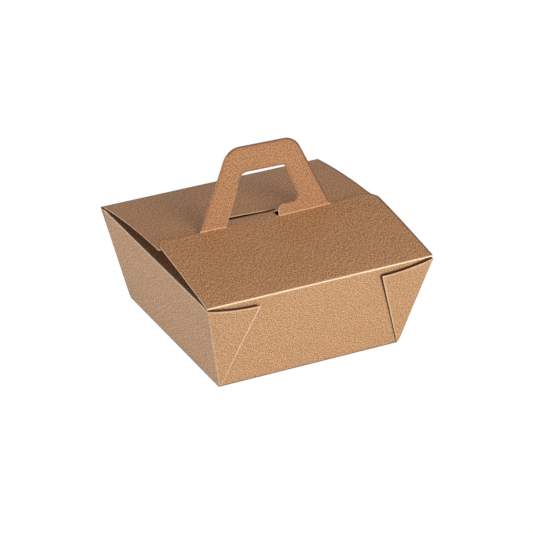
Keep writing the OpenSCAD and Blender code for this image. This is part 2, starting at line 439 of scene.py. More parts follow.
class Nodes:
    """Shader nodes of a material or a world, with a short way to add and link them."""

    def __init__(self, owner):
        owner.use_nodes = True
        self.tree = owner.node_tree

    def feed(self, node, inputs):
        """Links inputs of a node to sockets, or sets them to plain values."""
        for key, value in dict(inputs).items():
            if isinstance(value, bpy.types.NodeSocket):
                self.tree.links.new(value, node.inputs[key])
            else:
                node.inputs[key].default_value = value
        return node

    def add(self, kind, inputs=(), **settings):
        """Adds a node with its settings and inputs."""
        node = self.tree.nodes.new(kind)
        for key, value in settings.items():
            setattr(node, key, value)
        return self.feed(node, inputs)

    def maths(self, operation, a, b):
        """Result of one step of arithmetic."""
        return self.add("ShaderNodeMath", {0: a, 1: b}, operation=operation).outputs[0]

    def spread(self, value, low, high, to_low=0.0, to_high=1.0):
        """Soft step from to_low to to_high while the value goes from low to high."""
        inputs = enumerate((value, low, high, to_low, to_high))
        return self.add("ShaderNodeMapRange", inputs, interpolation_type="SMOOTHSTEP").outputs[0]

    def mix(self, share, a, b):
        """Colour between a and b, by a share of b that is held between 0 and 1."""
        return self.add("ShaderNodeMix", {0: share, 6: a, 7: b}, data_type="RGBA").outputs[2]

    def noise(self, vector, scale, detail=2.0, roughness=0.5):
        """Smooth noise with so many waves to a unit."""
        inputs = {"Vector": vector, "Scale": scale, "Detail": detail, "Roughness": roughness}
        return self.add("ShaderNodeTexNoise", inputs).outputs["Fac"]

    def squeezed(self, vector, turn, scale):
        """Place turned by degrees and scaled along each axis."""
        inputs = {"Vector": vector, "Rotation": (0, 0, np.radians(turn)), "Scale": scale}
        return self.add("ShaderNodeMapping", inputs).outputs[0]

    def blank(self, stretch=1.0):
        """Place on the flat sheet in millimetres, with the grain stretched across the creases."""
        flat = self.add("ShaderNodeUVMap", uv_map="blank").outputs[0]
        return self.squeezed(flat, 0, (1000, 1000 * stretch, 1000))

    def mark(self, name):
        """Value of a mark on the board: the wear mark is above 0 for broken fibres and painted highlights,
        and below 0 for die pressing and painted shade; the web shade mark is painted shade, growing from a
        web's outline inwards."""
        return self.add("ShaderNodeAttribute", attribute_name=name).outputs["Fac"]


def colour(red, green, blue):
    """Linear colour from the 0 to 255 values that a screen shows."""
    shown = np.array([red, green, blue]) / 255
    linear = np.where(shown <= 0.04045, shown / 12.92, ((shown + 0.055) / 1.055) ** 2.4)
    return (*[float(x) for x in linear], 1.0)


def kraft_board(name, base, crease, pressed_and_shade, roughness, stretch=1.0, shares=(GRAIN_SHARE, FINE_SHARE)):
    """Unbleached board: a fine grain from brown to cream, faint clouds, fibres in three directions and
    a few bark specks. Its tone is one half plus each noise's share of its distance from one half.
    Creases make it paler and cuts make it darker; the same pale and dark colours also paint highlights and
    shade along lines, and under a web the board takes painted shade."""
    material = bpy.data.materials.new(name)
    k = Nodes(material)
    mm = k.blank(stretch)
    fine = k.noise(mm, FINE_SCALE, 0.5)
    parts = [
        (k.noise(mm, CLOUD_SCALE), CLOUD_SHARE),
        (k.noise(mm, GRAIN_SCALE, 0.5), shares[0]),
        (fine, shares[1]),
    ]
    for turn in FIBRE_TURNS:
        parts.append((k.noise(k.squeezed(mm, turn, FIBRE_SQUEEZE), 1.0, 1.0), FIBRE_SHARE))
    tone = 0.5 * (1 - sum(share for _, share in parts))
    for value, share in parts:
        tone = k.maths("ADD", k.maths("MULTIPLY", value, share), tone)
    drift = k.spread(k.noise(k.squeezed(mm, HUE_TURN, (1, 1, 1)), HUE_SCALE, 1.5, 0.7), 0.35, 0.65)
    ends = [np.array(base[:3]) * end for end in (DARKEST, LIGHTEST)]
    low, high = [k.mix(drift, (*(end / HUE_SHIFT), 1), (*(end * HUE_SHIFT), 1)) for end in ends]
    hue = k.mix(tone, low, high)
    specks = k.add("ShaderNodeTexVoronoi", {"Vector": mm, "Scale": SPECK_SCALE})
    near = k.spread(specks.outputs["Distance"], 0.05, 0.17, 1.0, 0.0)
    draw = k.add("ShaderNodeSeparateColor", {0: specks.outputs["Color"]}).outputs[0]
    speck = k.maths("MULTIPLY", near, k.spread(draw, 0.6, 0.7))
    hue = k.mix(k.maths("MULTIPLY", speck, SPECK_SHARE), hue, low)
    wear_and_painted_light = k.mark("wear_and_painted_light")
    broken = k.spread(fine, 0.3, 0.62, 0.75, 1.0)
    # The pale colour shows broken fibres and paints highlights; the dark colour shows die pressing and
    # paints shade
    hue = k.mix(k.maths("MULTIPLY", wear_and_painted_light, broken), hue, crease)
    hue = k.mix(k.maths("MULTIPLY", wear_and_painted_light, -1.0), hue, pressed_and_shade)
    # Painted shade in the pockets under the webs
    shade = k.spread(k.mark("painted_web_shade"), WEB_SHADE_REACH - 0.5 * MM, WEB_SHADE_REACH + 0.3 * MM, 0.0, PAINTED_WEB_SHADE_SHARE)
    hue = k.mix(shade, hue, PAINTED_WEB_SHADE_COLOUR)
    bump = k.add("ShaderNodeBump", {"Strength": 0.4, "Distance": GRAIN_RELIEF, "Height": tone})
    finish = k.spread(tone, 0.2, 0.8, roughness + 0.06, roughness - 0.06)
    inputs = {"Base Color": hue, "Roughness": finish, "Normal": bump.outputs[0]}
    k.feed(k.tree.nodes["Principled BSDF"], inputs)
    return material


def cut_edge(name, base, dark):
    """Cut edge of the board, where the paler layers and loose fibres inside it show."""
    material = bpy.data.materials.new(name)
    k = Nodes(material)
    hue = k.mix(k.spread(k.noise(k.blank(), 1.6, 2.0, 0.6), 0.35, 0.7), base, dark)
    # The wear mark darkens the edge too: die pressing, and painted shade in the web pockets and along shaded
    # edges
    hue = k.mix(k.maths("MULTIPLY", k.mark("wear_and_painted_light"), -1.0), hue, PRESSED_AND_SHADE_COLOUR)
    k.feed(k.tree.nodes["Principled BSDF"], {"Base Color": hue, "Roughness": 0.9})
    return material


# Dark colour for die pressing and for painted shade along lines
PRESSED_AND_SHADE_COLOUR = colour(84, 42, 20)
# Colour of the painted shade in the pockets under the webs
PAINTED_WEB_SHADE_COLOUR = colour(74, 32, 14)
OUTSIDE = {
    "base": colour(180, 139, 100),
    "crease": colour(252, 232, 206),
    "pressed_and_shade": PRESSED_AND_SHADE_COLOUR,
    "roughness": 0.6,
}
KRAFT_OUTSIDE = kraft_board("kraft_outside", **OUTSIDE)
KRAFT_LONG = kraft_board(
    "kraft_outside_long_grain",
    **OUTSIDE,
    stretch=LONG_GRAIN,
    shares=(LONG_GRAIN_SHARE, LONG_FINE_SHARE),
)
KRAFT_INSIDE = kraft_board(
    "kraft_inside",
    base=colour(176, 127, 86),
    crease=colour(214, 178, 140),
    pressed_and_shade=colour(112, 70, 40),
    roughness=0.7,
)
CUT_EDGE = cut_edge("kraft_cut_edge", base=colour(243, 216, 182), dark=colour(210, 170, 128))


# Tray


def corner_x(up, out=0.0):
    """Distance from the middle to the side wall, for a place up the slope of an end wall and out from it."""
    return BASE_W / 2 + (up * FRONT_COS - out * FRONT_SIN) * SIDE_TAN


def gathered(up):
    """Share of the full distance between plies, which close up towards the foot of their web."""
    return CONVERGE_SHARE + (1 - CONVERGE_SHARE) * smooth(up / CONVERGE_H)


def opened(up):
    """How far the pocket between an end wall and its webs stands open, at a place up the slope."""
    return WEB_OPEN * np.clip(up / FRONT_SLANT, 0, 1) ** 3


def wall_place(along, up, out):
    """Place from coordinates on the front wall: along it, up its slope and out from its board."""
    forward = BASE_D / 2 + up * FRONT_SIN + out * FRONT_COS
    return turned(along, forward, HALF_T + up * FRONT_COS - out * FRONT_SIN, 0)


def near_crease(distance):
    """Bell curve over the distance from a line: how much a crease has paled the board, and how painted
    highlights and shade fall off beside a line.
    """
    return np.exp(-((distance / CREASE_SPREAD) ** 2))


def near_cut(distance):
    """How dark a line along a cut is, as a negative share: level at first, then a bell curve. It serves die
    pressing and painted shade alike.
    """
    return -np.exp(-((np.clip(distance - PRESSED_CORE, 0, None) / PRESSED_SPREAD) ** 2))


def painted_foot_shade(run):
    """Painted shade along the crease at the foot of a wall, over the run of the wall: a dark line where it
    turns under.
    """
    return WALL_FOOT_SHADE * near_cut(1.4 * np.abs(run - BASE_MARGIN - 0.3 * MM) + PRESSED_CORE / 2)


def base_grid():
    """The flat middle of the base, inside the margins that the walls bring with them."""
    x = np.linspace(-BASE_W / 2 + BASE_MARGIN, BASE_W / 2 - BASE_MARGIN, 13)
    y = np.linspace(BASE_D / 2 - BASE_MARGIN, -BASE_D / 2 + BASE_MARGIN, 13)
    x, y = np.meshgrid(x, y, indexing="ij")
    return np.stack([x, y, np.full_like(x, HALF_T)], axis=-1), np.stack([x, y], axis=-1)


def flap_curve(reach, rise, bow, shares):
    """Side view of a bowed flap, as (inwards, up) from its crease: a chord with a parabola over it."""
    chord = np.hypot(reach, rise)
    across = np.array([-rise, reach]) / chord
    shares = np.asarray(shares)[:, None]
    return shares * np.array([reach, rise]) + 4 * bow * shares * (1 - shares) * across


def front_lid_curve(shares):
    """Side view of the front flap, as (inwards, up) from its crease, at shares of its chord."""
    return flap_curve(LID_REACH, LID_RISE, FRONT_LID_BOW, shares)


def wall_path(base_half, top, rows):
    """Side view of a wall from the margin in the base to just under its top crease, as (out, up)."""
    foot = np.array([base_half, HALF_T])
    margin = foot - np.array([BASE_MARGIN, 0])
    before, after = towards(foot, margin, FOLD_CUT), towards(foot, top, FOLD_CUT)
    above, under = towards(foot, top, FOLD_ZONE), towards(top, foot, FOLD_ZONE)
    end = towards(top, foot, FOLD_CUT)
    return np.concatenate([
        straight(margin, before, NEAR_ROWS),
        bend(before, foot, after, FOLD_ROWS),
        straight(after, above, NEAR_ROWS),
        straight(above, under, rows),
        straight(under, end, NEAR_ROWS),
        end[None],
    ])


def end_wall_path():
    """Side view of the front or the rear wall."""
    return wall_path(BASE_D / 2, LID_CREASE, END_WALL_ROWS)


def blank_place(along, run, base_half, quarter):
    """Place on the flat sheet of a wall, from its run up from the margin in the base."""
    return turned(along, base_half - BASE_MARGIN + run, 0.0, quarter)[..., :2]


def end_wall_half(out, up):
    """Half the width of an end wall: mitred in the base, and drawn in from the corner above it."""
    slope = np.clip((up - HALF_T) / FRONT_COS, 0, None)
    inset = np.where(out < BASE_D / 2, BASE_D / 2 - out, 0)
    return corner_x(slope) - np.maximum(CORNER_INSET * gathered(slope), inset)


def end_wall_grid(path, half, quarter, lines):
    """Board carried along a side view (out, up), with half widths, on lines that are shares of them:
    its middle, its place on the flat sheet, its painted shade under the webs, and its run."""
    run = lengths(path)
    along = lines[:, None] * half
    slope = np.clip(path[:, 1] - HALF_T, 0, None) / (CREASE_Z - HALF_T)
    bow = END_WALL_BOW * np.sin(np.pi * np.clip(slope, 0, 1)) * (path[:, 1] < CREASE_Z)
    out = path[:, 0] + bow * (1 - lines[:, None] ** 2)
    middle = turned(along, out, path[:, 1], quarter)
    painted_web_shade = under_web(along, *path.T)
    return middle, blank_place(along, run, BASE_D / 2, quarter), painted_web_shade, run


def front_wall():
    """Front wall, up to the crease of the front flap, with painted shade where its webs lie over it."""
    path = end_wall_path()
    half = end_wall_half(*path.T)
    lines = np.linspace(-1, 1, 101)
    middle, blank, painted_web_shade, run = end_wall_grid(path, half, 0, lines)
    # Pale top crease, and painted shade along the foot
    wear_and_painted_light = FRONT_TOP_WEAR * near_crease(run[-1] - run + FOLD_CUT / 2) + painted_foot_shade(run)
    wear_and_painted_light = np.tile(wear_and_painted_light, (len(lines), 1))
    board_piece("front_wall", "tray", ["carton"], (middle, blank, wear_and_painted_light, None, painted_web_shade))


def sag(x):
    """Height that the front flap's free edge has over its corners, at a place across it: a parabola
    that is lowest where the tongue pulls the edge down, and a second one that curls its right end up."""
    curl = LID_CURL * (np.clip(x - LID_CURL_X, 0, None) / (FRONT_LID_HALF - LID_CURL_X)) ** 2
    return LID_SAG * (((x - LID_SAG_X) / LID_SAG_HALF) ** 2 - 1) + curl


def slot_shift(x):
    """How far forward the slot's rear lip lies at a place across it, as it is not quite square."""
    return np.tan(np.radians(SLOT_TURN)) * x * np.exp(-((x / SLOT_REACH) ** 2))


def rear_wall_and_lid():
    """Rear wall, its lid crease and the rear flap in one run of board, with the slot left out. Its
    lines run along the wall as seen from the rear, so against x. Its end is just under the front flap."""
    reach = CREASE_OUT + HANDLE_AHEAD + LID_OVERLAP
    lip = CREASE_OUT + HANDLE_AHEAD - SLOT_BEHIND
    front_flap = front_lid_curve(np.linspace(0, 1, 101))
    rise = np.interp(LID_REACH - LID_OVERLAP, *front_flap.T) - BOARD_T - LID_REST_GAP
    shares = np.concatenate([np.linspace(0, 1, 25), [lip / reach, (lip + SLOT_W) / reach]])
    shares = fine_near(shares, [FOLD_ZONE / reach, lip / reach, 1 - 1 * MM / reach], 0.7 * MM / reach)
    shares = np.concatenate([[FOLD_CUT / reach], shares[shares > FOLD_CUT / reach]])
    curve = flap_curve(reach, rise, REAR_LID_BOW, shares)
    flap = LID_CREASE + curve * np.array([-1, 1])
    wall = end_wall_path()
    path = np.concatenate([wall[:-1], bend(wall[-1], LID_CREASE, flap[0], FOLD_ROWS), flap])
    flap_start = len(path) - len(flap)
    on_flap = np.arange(len(path)) >= flap_start
    inwards = np.concatenate([np.zeros(flap_start), curve[:, 0]])
    half = np.minimum(end_wall_half(*path.T), REAR_LID_HALF)
    half = np.where(on_flap, REAR_LID_HALF, half)
    slot = np.array([-FOOT_X - FOOT_R - SLOT_ROOM, WINDOW_HALF + SLOT_ROOM]) / REAR_LID_HALF
    lines = fine_near(np.linspace(-1, 1, 41), slot, 0.01)
    beside_cut = 1 - BESIDE_CUT / REAR_LID_HALF
    lines = np.unique(np.concatenate([lines, beside_cut, -beside_cut]))
    middle, blank, painted_web_shade, run = end_wall_grid(path, half, 2, lines)
    # The slot is not quite square, the front flap presses the strip before it down, and the flap's
    # free end lies a little to one side.
    x = middle[..., 0]
    middle[..., 1] -= slot_shift(x) * np.exp(-(((inwards - lip) / PRESS_REACH) ** 2))
    drop = (middle[..., 2] - CREASE_Z) * REAR_LID_DROP * (1 + x / REAR_LID_HALF)
    middle[..., 2] -= drop * on_flap
    middle[..., 2] += sag(x) * smooth((inwards / reach - REAR_SAG_FROM) / REAR_SAG_OVER)
    middle[..., 0] += REAR_LID_SKEW * inwards / reach
    cell_along = (lines[1:] + lines[:-1]) / 2
    cell_in = (inwards[1:] + inwards[:-1]) / 2
    in_slot_x = (cell_along > slot[0]) & (cell_along < slot[1])
    in_slot_y = (cell_in > lip) & (cell_in < lip + SLOT_W)
    keep = ~(in_slot_x[:, None] & in_slot_y)
    to_crease = np.abs(run - run[flap_start - FOLD_ROWS // 2])
    # Painted shade along the foot, and a dark band along the rear crease
    wear_and_painted_light = painted_foot_shade(run) - REAR_CREASE_SHADE * near_crease(to_crease / np.where(on_flap, 5, 1.6))
    from_side = (1 - np.abs(lines)) * REAR_LID_HALF
    # Painted shade along the flap's cut edge that faces away from the light, and a little die pressing along
    # the lit one
    painted_cut_shade = np.where(lines < 0, SHADED_CUT, LIT_CUT)
    wear_and_painted_light = wear_and_painted_light + (near_cut(from_side) * painted_cut_shade)[:, None] * on_flap
    # Pale line along the slot's lip: the paler cut edge with a painted highlight
    by_slot = (lines > slot[0]) & (lines < slot[1])
    behind_lip = near_crease(1.2 * (lip - inwards)) * (inwards <= lip)
    wear_and_painted_light += SLOT_LIP_PALE_AND_HIGHLIGHT * by_slot[:, None] * behind_lip
    grid = (middle, blank, wear_and_painted_light, keep, painted_web_shade * ~on_flap)
    board_piece("rear_wall_and_lid", "tray", ["carton"], grid, outside=KRAFT_LONG)


def side_wall_and_dust_flap(name, quarter):
    """Side wall up from the base, folded over at its top crease into the dust flap."""
    top = np.array([RIM_W / 2, WALL_H])
    tilt = np.radians(DUST_TILT)
    tip = top + DUST_LEN * np.array([-np.cos(tilt), np.sin(tilt)])
    near_tip = towards(tip, top, DUST_R)
    turn = np.linspace(0, np.pi / 2, 9)[1:]
    beyond, over = towards(top, tip, FOLD_CUT), towards(top, tip, FOLD_ZONE)
    wall = wall_path(BASE_W / 2, top, SIDE_WALL_ROWS)
    path = np.concatenate([
        wall[:-1],
        bend(wall[-1], top, beyond, FOLD_ROWS),
        straight(beyond, over, NEAR_ROWS),
        straight(over, near_tip, 8),
        near_tip[None],
        near_tip + (tip - near_tip) * np.sin(turn)[:, None],
    ])
    run = lengths(path)
    bend_row = len(wall) - 1 + FOLD_ROWS // 2
    height = np.clip(path[:, 1] - HALF_T, 0, WALL_RISE)
    slope = height / FRONT_COS
    plies = 2 * PLY_STEP * gathered(slope) + opened(slope)
    wall_half = BASE_D / 2 + height * FRONT_TAN + plies / FRONT_COS - CORNER_CUT
    wall_half = np.where(height > 0, wall_half, BASE_D / 2 - np.clip(BASE_W / 2 - path[:, 0], 0, None))
    from_crease = np.clip(run - run[bend_row], 0, None)
    dust_half = RIM_D / 2 - DUST_SETBACK - DUST_TAPER * from_crease / DUST_LEN
    dust_half -= rounded(DUST_R, DUST_LEN - from_crease)
    on_flap = np.arange(len(path)) > bend_row
    inner_half = np.where(on_flap, dust_half, np.minimum(dust_half, wall_half - 1 * MM))
    inner = np.linspace(-1, 1, 33)[:, None] * inner_half
    edge = np.where(on_flap, inner_half, wall_half)
    along = np.concatenate([-edge[None], inner, edge[None]])
    bow = SIDE_WALL_BOW * np.sin(np.pi * height / WALL_RISE) * ~on_flap
    out = path[:, 0] + bow * (1 - (along / np.maximum(edge, 1 * MM)) ** 2)
    middle = turned(along, out, path[:, 1], quarter)
    keep = np.ones((along.shape[0] - 1, along.shape[1] - 1), bool)
    keep[[0, -1], bend_row:] = False
    blank = blank_place(along, run, BASE_W / 2, quarter)
    # Pale top crease, and painted shade along the foot
    wear_and_painted_light = SIDE_TOP_WEAR * near_crease(run - run[bend_row]) + painted_foot_shade(run)
    wear_and_painted_light = np.tile(wear_and_painted_light, (len(along), 1))
    # Painted shade along the wall's rear edge
    wear_and_painted_light[0 if quarter == 3 else -1] = -SIDE_EDGE_SHADE
    board_piece(name, "tray", ["carton"], (middle, blank, wear_and_painted_light, keep), outside=KRAFT_LONG)


def u_turn(start, end, push):
    """Fold of board back on itself between two lines of points, the same way up: half an ellipse."""
    angle = np.linspace(0, np.pi, 9)[1:-1, None, None]
    radius = np.linalg.norm(end - start, axis=-1, keepdims=True) / 2
    return (start + end) / 2 + (start - end) / 2 * np.cos(angle) + push * radius * np.sin(angle)


def fold_lean():
    """Lean of a web's slanting fold, as a share of its height. The four angles round a base corner and
    the two halves of its web make a full turn of flat board."""
    side_slant = np.hypot(WALL_RISE, (RIM_W - BASE_W) / 2)
    front_flare = np.degrees(np.arctan((RIM_W - BASE_W) / 2 / FRONT_SLANT))
    side_flare = np.degrees(np.arctan((RIM_D - BASE_D) / 2 / side_slant))
    web_half = (360 - 90 - (90 + front_flare) - (90 + side_flare)) / 2
    return np.tan(np.radians(web_half - front_flare - WEB_STEEPER))


def web_outline():
    """Foot and tip of a web's slanting fold, as (along, up) on the end wall, and the lean of that fold."""
    lean = fold_lean()
    foot = np.array([corner_x(WEB_LIFT), WEB_LIFT])
    tip_up = FRONT_SLANT - WEB_DROP
    return foot, np.array([foot[0] - (tip_up - WEB_LIFT) * lean, tip_up]), lean


def web_top(along, tip):
    """Height of a web's top edge: an arc that is level at the tip and meets the rim at the corner."""
    width = corner_x(FRONT_SLANT) - tip[0]
    radius = (width**2 + WEB_DROP**2) / (2 * WEB_DROP)
    x = np.clip(along - tip[0], 0, width)
    return tip[1] + radius - np.sqrt(radius**2 - x**2) + WEB_RAISE * x / width


def under_web(along, out, up):
    """Painted shade on an end wall beside and under a web: the reach less the distance outside the
    web's outline. Both grow evenly across the board, so that coarse cells hold them exactly. The fold
    that faces the light stays clear of the painted shade."""
    foot, tip, lean = web_outline()
    slope = (up - HALF_T) / FRONT_COS
    side = np.abs(along)
    to_fold = -((side - foot[0]) + (slope - foot[1]) * lean) / np.hypot(1, lean)
    to_fold += np.where(along < 0, FOLD_CLEAR, -FOLD_SHADE)
    share = np.clip((side - tip[0]) / (corner_x(FRONT_SLANT) - tip[0]), 0, 1)
    to_top = slope - web_top(side, tip) - CORNER_SHADE * share**3
    inside = WEB_SHADE_REACH - np.maximum(to_fold, to_top)
    return np.where(out < BASE_D / 2, 0, np.maximum(inside, 0))


def web_corner(name, quarter, mirrored):
    """Web between an end wall and a side wall. The end wall's edge folds back as the inner ply, which
    folds over along the slanting line into the outer ply, and that one runs round the corner."""
    _, end, lean = web_outline()
    even = np.linspace(0, 1, 27)
    rows = np.insert((smooth(even) + even) / 2, -1, 1 - 0.4 * MM / FRONT_SLANT)
    spread = np.concatenate([[0, 0.012, 0.024, 0.045], np.linspace(0.1, 1, 13)])

    def ply(inset, level, lift=0.0):
        """Fan of board from the web's foot to its top edge, at a level above the end wall. The top edge
        can lift at the corner, where the inner ply closes the pocket."""
        foot_up = WEB_LIFT + inset / (lean + SIDE_TAN * FRONT_COS)
        foot = np.array([corner_x(foot_up) - inset, foot_up])
        x = end[0] + (corner_x(FRONT_SLANT) - inset - end[0]) * spread
        tops = np.stack([x, web_top(x, end) + lift * spread**6], axis=-1)
        flat = foot + (tops[:, None, :] - foot) * rows[:, None]
        spring = WEB_SPRING * (1 - spread[:, None] ** 2) * rows**1.5
        out = PLY_STEP * level * gathered(flat[..., 1]) + spring + opened(flat[..., 1])
        return wall_place(flat[..., 0], flat[..., 1], out), flat[-1, :, 1]

    inner, up = ply(CORNER_INSET, 1, INNER_PLY_LIFT)
    outer, level = ply(CORNER_CUT, 2)
    wall_edge = wall_place(corner_x(up) - CORNER_INSET * gathered(up), up, 0)
    out = 2 * PLY_STEP * gathered(level) + opened(level)
    corner = wall_place(corner_x(level, out), level, out)
    beyond = corner + np.array([0, CORNER_CUT, 0])
    columns = [
        (wall_edge - np.array([0.2 * MM, 0, 0]))[None],
        wall_edge[None],
        u_turn(wall_edge, inner[-1], np.array([1.0, 0, 0])),
        inner[::-1],
        u_turn(inner[0], outer[0], np.array([-1.0, 0, 0])),
        outer,
        parabola(outer[-1], corner, beyond, np.linspace(0, 1, 7)[1:, None, None]),
    ]
    middle = np.concatenate(columns)
    blank = np.stack([middle[..., 0] - middle[..., 1], middle[..., 2]], axis=-1)
    # Painted shade: the wall's edge and inner ply in the pocket are dark, as is the slanting fold under its
    # edge.
    # The fold is paler where it turns onto the outer ply.
    part = np.repeat(np.arange(len(columns)), [len(column) for column in columns])
    over_fold = np.linspace(-1, 1, len(columns[4]))
    wear_and_painted_light = np.where(part <= 3, -1.0, 0.0)
    wear_and_painted_light[part == 4] = np.where(over_fold < 0.3, -1, 0.5 * smooth(over_fold))
    # Pale line along the fold: crease fibres and a painted highlight, stronger on the web that faces the
    # light
    fold_crease_and_highlight = LIT_WEB_FOLD_CREASE_AND_HIGHLIGHT if mirrored else WEB_FOLD_CREASE_AND_HIGHLIGHT
    wear_and_painted_light[part == 5] = fold_crease_and_highlight * near_crease(spread * WEB_FADE)
    # Painted light round the corner: shade on the web that faces away from the light, a highlight on the
    # other
    painted_corner_shade = np.linspace(0, -SIDE_EDGE_SHADE, len(columns[6]))
    wear_and_painted_light[part == 6] = LIT_CORNER_HIGHLIGHT if mirrored else painted_corner_shade
    at_top = WEB_TOP_WEAR * near_crease((1 - rows) * FRONT_SLANT)
    wear_and_painted_light = wear_and_painted_light[:, None] + at_top * (part == 5)[:, None]
    if mirrored:
        middle = middle[::-1] * np.array([-1, 1, 1])
        blank = blank[::-1] * np.array([-1, 1])
        wear_and_painted_light = wear_and_painted_light[::-1]
    place = turned(middle[..., 0], -middle[..., 1], middle[..., 2], quarter)
    board_piece(name, "tray", ["carton"], (place, blank, wear_and_painted_light))


# Front lid


def corner_arc(before, at, after, r, count=ARC_ROWS):
    """Arc that rounds a corner and touches both of its edges."""
    a, b = unit(before - at), unit(after - at)
    half = np.arccos(np.clip(a @ b, -1, 1)) / 2
    centre = at + unit(a + b) * r / np.sin(half)
    first = at + a * r / np.tan(half) - centre
    turn = (np.pi - 2 * half) * -np.sign(a[0] * b[1] - a[1] * b[0])
    angle = np.arctan2(first[1], first[0]) + turn * np.linspace(0, 1, count)
    return centre + r * np.stack([np.cos(angle), np.sin(angle)], axis=-1)


def lid_place(x, inwards, rise):
    """Place on the front lid: across it, in from its crease and up over the crease."""
    x, inwards, rise = np.broadcast_arrays(x, inwards, rise)
    return np.stack([x, inwards - CREASE_OUT, rise + CREASE_Z], axis=-1)


def front_lid_path():
    """Side view of the front flap and the tongue in one run, as (inwards, up), and the row of the
    flap's free edge. The tongue carries on from that edge with no crease: a cubic curve dips it
    through the slot and lets it spring back under the rear flap."""
    corner_share = FRONT_LID_R / LID_CHORD
    corner = 1 - corner_share * (1 - np.sin(np.linspace(0, np.pi / 2, 12)))
    shares = np.concatenate([np.linspace(0, 1 - corner_share, 22)[:-1], corner, [1 - FOLD_CUT / LID_CHORD]])
    shares = np.unique(np.round(shares, 7))
    start = np.array([FOLD_CUT, FOLD_ZONE]) / LID_CHORD
    flap = front_lid_curve(np.concatenate([start, shares[shares > 0.03]]))
    knots = flap[-1] + TONGUE_KNOTS
    t = np.linspace(0, 1, 13)[1:, None]
    weights = [(1 - t) ** 3, 3 * t * (1 - t) ** 2, 3 * t**2 * (1 - t), t**3]
    curve = sum(knot * weight for knot, weight in zip(knots, weights))
    dip = np.radians(TONGUE_DIP)
    used = lengths(np.concatenate([flap[-1:], curve]))[-1]
    straight_on = np.linspace(0, WINDOW_H - used, 12)[1:, None] * np.array([np.cos(dip), -np.sin(dip)])
    return np.concatenate([flap, curve, curve[-1] + straight_on]), len(flap) - 1


def front_lid_lines(run, beyond, half, edge_row):
    """Places across the front flap and tongue. The flap's lines are square in the middle zone, then
    drawn in to its sides. Past the free edge, those of the tongue follow its own sides."""
    marks = [-HANDLE_HALF, -WINDOW_HALF, FOOT_X, WINDOW_HALF, HANDLE_HALF]
    inner_lines = fine_near(np.linspace(-SQUARE_ZONE, SQUARE_ZONE, 31), marks, 0.8 * MM)
    beside_cut = 1 - BESIDE_CUT / (FRONT_LID_HALF - SQUARE_ZONE)
    outer_shares = np.sort(np.append(np.linspace(0, 1, 12)[1:], beside_cut))
    side = SQUARE_ZONE + (half - SQUARE_ZONE) * outer_shares[:, None]
    x = np.concatenate([-side[::-1], np.tile(inner_lines[:, None], len(run)), side])
    inside = np.abs(x[:, edge_row]) < WINDOW_HALF + SAME_PLACE
    root = np.where(beyond > HOOK_FROM, WINDOW_HALF, FOOT_X)
    share = np.clip((x[inside, edge_row, None] + WINDOW_HALF) / (WINDOW_HALF + root), 0, 1)
    left, right = tongue_sides(beyond)
    x[inside, edge_row + 1 :] = (left + (right - left) * share)[:, edge_row + 1 :]
    return x


def front_lid():
    """Front flap and tongue, cut free from the handle along its legs."""
    path, edge_row = front_lid_path()
    run = lengths(path) + FOLD_CUT
    beyond = np.clip(run - run[edge_row], 0, None)
    before_edge = run[edge_row] - run
    half = FRONT_LID_HALF - FRONT_LID_TAPER * np.clip(run / LID_CHORD, 0, 1)
    half -= rounded(FRONT_LID_R, before_edge)
    x = front_lid_lines(run, beyond, half, edge_row)
    middle_x = (x[1:, edge_row] + x[:-1, edge_row]) / 2
    in_root = (middle_x > -WINDOW_HALF) & (middle_x < FOOT_X)
    keep = np.ones((x.shape[0] - 1, x.shape[1] - 1), bool)
    keep[~in_root, edge_row : np.flatnonzero(beyond > HOOK_FROM)[0]] = False
    keep[np.abs(middle_x) > WINDOW_HALF, edge_row:] = False
    keep[(np.abs(middle_x) < HANDLE_HALF) & ~in_root, edge_row - 1] = False
    rise = path[:, 1] + sag(x) * smooth(run / LID_CHORD / LID_SAG_FULL)
    dipping = smooth((x - FOOT_X + TWIST_W) / TWIST_W) * smooth(beyond / TWIST_L)
    rise -= TONGUE_TWIST * dipping * (beyond < HOOK_FROM)
    flare = FRONT_LID_FLARE * np.clip(x / FRONT_LID_HALF, 0, 1) * np.clip(1 - run / LID_CHORD, 0, 1)
    middle = lid_place(x + flare, path[:, 0], rise)
    blank = np.stack([x, np.broadcast_to(-LID_START - run, x.shape)], axis=-1)
    # The side that faces the light has a painted highlight along its edge and the other one a painted dark
    # line of shade, the handle's legs and the crease are pale, and the tongue has painted shade behind the
    # slot's lip.
    on_flap = beyond == 0
    from_side = np.clip(half - np.abs(x), 0, None)
    painted_cut_shade = np.where(x > 0, SHADED_CUT, LIT_CUT)
    wear_and_painted_light = LID_START_WEAR * near_crease(run) + near_cut(from_side) * painted_cut_shade * on_flap
    wear_and_painted_light += LIT_EDGE_HIGHLIGHT * near_crease(1.2 * from_side) * (x < 0) * on_flap
    leg_zone = (np.abs(x) < HANDLE_HALF) & ((x < -WINDOW_HALF) | (x > FOOT_X))
    wear_and_painted_light += LEG_CREASE_WEAR * near_crease(1.4 * np.clip(before_edge, 0, None)) * leg_zone
    # Painted shade on the tongue behind the slot's lip
    to_lip = SLOT_BEHIND - slot_shift(x) - beyond
    wear_and_painted_light -= smooth((1.0 * MM - to_lip) / (0.6 * MM)) * ~on_flap
    wear_and_painted_light += LID_END_WEAR * near_cut(before_edge) * (np.abs(x) > HANDLE_HALF) * on_flap
    grid = (middle, blank, np.clip(wear_and_painted_light, -1, 1), keep)
    board_piece("front_lid_and_tongue", "lid", ["front_lid", "lock_tongue"], grid, outside=KRAFT_LONG)


